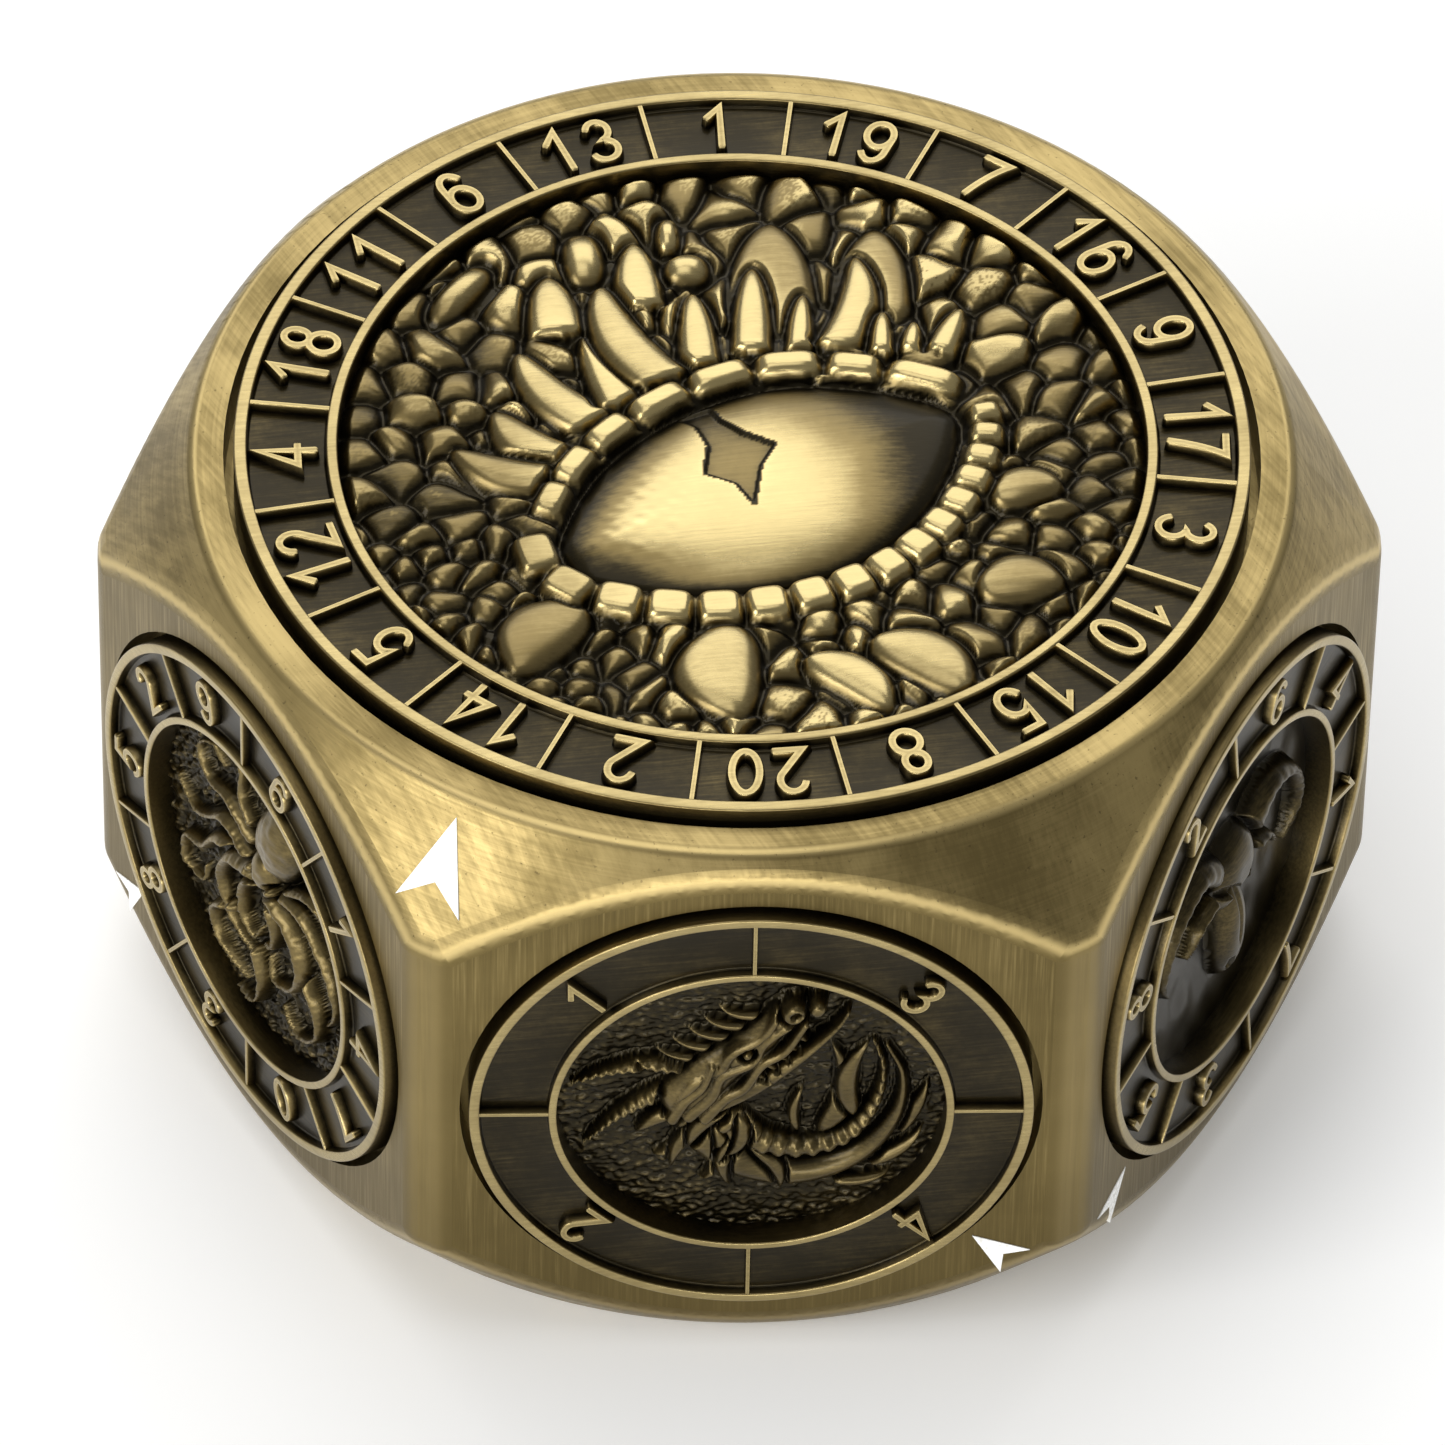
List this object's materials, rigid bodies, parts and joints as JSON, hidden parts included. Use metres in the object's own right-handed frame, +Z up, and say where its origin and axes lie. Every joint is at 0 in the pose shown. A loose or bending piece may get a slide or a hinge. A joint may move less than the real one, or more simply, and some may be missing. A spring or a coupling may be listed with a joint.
{
  "type": "hexagonal dial dice spinner",
  "caption": "Hexagonal metal dice spinner: a large round number dial on top and a small one on each side, each turning on its own ball bearing",
  "frame": {"origin": "centre of the ring that the housing stands on", "axes": "+Z up through the large dial, the four-number dial faces -Y, two corners of the hexagon lie on X"},
  "size_m": [0.0398, 0.0358, 0.0217],
  "materials": {
    "antique_bronze_case": "antique bronze plating over a zinc alloy casting, brushed, worn bright on the edges",
    "antique_bronze_dial": "antique bronze plating, blackened in the recesses and rubbed bright on the raised parts",
    "white_enamel": "white enamel filled into the arrow pockets",
    "blackened_steel": "black oxide",
    "bearing_steel": "ground",
    "polished_balls": "polished chrome steel",
    "cage_brass": "pressed brass"
  },
  "bodies": {
    "housing": {"body_shell": "antique_bronze_case", "pointer_marks": "white_enamel", "base_cover": "antique_bronze_case", "cover_screws": "blackened_steel", "bearing_outer_ring_d20": "bearing_steel", "bearing_outer_ring_d4": "bearing_steel", "bearing_outer_ring_d8": "bearing_steel", "bearing_outer_ring_d12": "bearing_steel", "bearing_outer_ring_d6": "bearing_steel", "bearing_outer_ring_d100": "bearing_steel", "bearing_outer_ring_d10": "bearing_steel"},
    "d20_rotor": {"dial_d20": "antique_bronze_dial", "bearing_inner_ring_d20": "bearing_steel", "hub_screw_d20": "blackened_steel", "hub_washer_d20": "blackened_steel"},
    "d20_ball_set": {"bearing_balls_d20": "polished_balls", "bearing_cage_d20": "cage_brass"},
    "d4_rotor": {"dial_d4": "antique_bronze_dial", "bearing_inner_ring_d4": "bearing_steel", "hub_screw_d4": "blackened_steel"},
    "d4_ball_set": {"bearing_balls_d4": "polished_balls", "bearing_cage_d4": "cage_brass"},
    "d8_rotor": {"dial_d8": "antique_bronze_dial", "bearing_inner_ring_d8": "bearing_steel", "hub_screw_d8": "blackened_steel"},
    "d8_ball_set": {"bearing_balls_d8": "polished_balls", "bearing_cage_d8": "cage_brass"},
    "d12_rotor": {"dial_d12": "antique_bronze_dial", "bearing_inner_ring_d12": "bearing_steel", "hub_screw_d12": "blackened_steel"},
    "d12_ball_set": {"bearing_balls_d12": "polished_balls", "bearing_cage_d12": "cage_brass"},
    "d6_rotor": {"dial_d6": "antique_bronze_dial", "bearing_inner_ring_d6": "bearing_steel", "hub_screw_d6": "blackened_steel"},
    "d6_ball_set": {"bearing_balls_d6": "polished_balls", "bearing_cage_d6": "cage_brass"},
    "d100_rotor": {"dial_d100": "antique_bronze_dial", "bearing_inner_ring_d100": "bearing_steel", "hub_screw_d100": "blackened_steel"},
    "d100_ball_set": {"bearing_balls_d100": "polished_balls", "bearing_cage_d100": "cage_brass"},
    "d10_rotor": {"dial_d10": "antique_bronze_dial", "bearing_inner_ring_d10": "bearing_steel", "hub_screw_d10": "blackened_steel"},
    "d10_ball_set": {"bearing_balls_d10": "polished_balls", "bearing_cage_d10": "cage_brass"}
  },
  "joints": [
    {"name": "d20_spin", "type": "hinge", "parent": "housing", "child": "d20_rotor", "pos_m": [0, 0, 0.0175], "axis": [0, 0, 1], "continuous": true},
    {"name": "d20_ball_spin", "type": "hinge", "parent": "housing", "child": "d20_ball_set", "pos_m": [0, 0, 0.0175], "axis": [0, 0, 1], "continuous": true},
    {"name": "d4_spin", "type": "hinge", "parent": "housing", "child": "d4_rotor", "pos_m": [0, -0.015, 0.01065], "axis": [0, -1, 0], "continuous": true},
    {"name": "d4_ball_spin", "type": "hinge", "parent": "housing", "child": "d4_ball_set", "pos_m": [0, -0.015, 0.01065], "axis": [0, -1, 0], "continuous": true},
    {"name": "d8_spin", "type": "hinge", "parent": "housing", "child": "d8_rotor", "pos_m": [0.01299, -0.0075, 0.01065], "axis": [0.866, -0.5, 0], "continuous": true},
    {"name": "d8_ball_spin", "type": "hinge", "parent": "housing", "child": "d8_ball_set", "pos_m": [0.01299, -0.0075, 0.01065], "axis": [0.866, -0.5, 0], "continuous": true},
    {"name": "d12_spin", "type": "hinge", "parent": "housing", "child": "d12_rotor", "pos_m": [0.01299, 0.0075, 0.01065], "axis": [0.866, 0.5, 0], "continuous": true},
    {"name": "d12_ball_spin", "type": "hinge", "parent": "housing", "child": "d12_ball_set", "pos_m": [0.01299, 0.0075, 0.01065], "axis": [0.866, 0.5, 0], "continuous": true},
    {"name": "d6_spin", "type": "hinge", "parent": "housing", "child": "d6_rotor", "pos_m": [0, 0.015, 0.01065], "axis": [0, 1, 0], "continuous": true},
    {"name": "d6_ball_spin", "type": "hinge", "parent": "housing", "child": "d6_ball_set", "pos_m": [0, 0.015, 0.01065], "axis": [0, 1, 0], "continuous": true},
    {"name": "d100_spin", "type": "hinge", "parent": "housing", "child": "d100_rotor", "pos_m": [-0.01299, 0.0075, 0.01065], "axis": [-0.866, 0.5, 0], "continuous": true},
    {"name": "d100_ball_spin", "type": "hinge", "parent": "housing", "child": "d100_ball_set", "pos_m": [-0.01299, 0.0075, 0.01065], "axis": [-0.866, 0.5, 0], "continuous": true},
    {"name": "d10_spin", "type": "hinge", "parent": "housing", "child": "d10_rotor", "pos_m": [-0.01299, -0.0075, 0.01065], "axis": [-0.866, -0.5, 0], "continuous": true},
    {"name": "d10_ball_spin", "type": "hinge", "parent": "housing", "child": "d10_ball_set", "pos_m": [-0.01299, -0.0075, 0.01065], "axis": [-0.866, -0.5, 0], "continuous": true}
  ],
  "couplings": [
    {"joint": "d20_ball_spin", "follows": "d20_spin", "ratio": 0.41667},
    {"joint": "d4_ball_spin", "follows": "d4_spin", "ratio": 0.39091},
    {"joint": "d8_ball_spin", "follows": "d8_spin", "ratio": 0.39091},
    {"joint": "d12_ball_spin", "follows": "d12_spin", "ratio": 0.39091},
    {"joint": "d6_ball_spin", "follows": "d6_spin", "ratio": 0.39091},
    {"joint": "d100_ball_spin", "follows": "d100_spin", "ratio": 0.39091},
    {"joint": "d10_ball_spin", "follows": "d10_spin", "ratio": 0.39091}
  ]
}
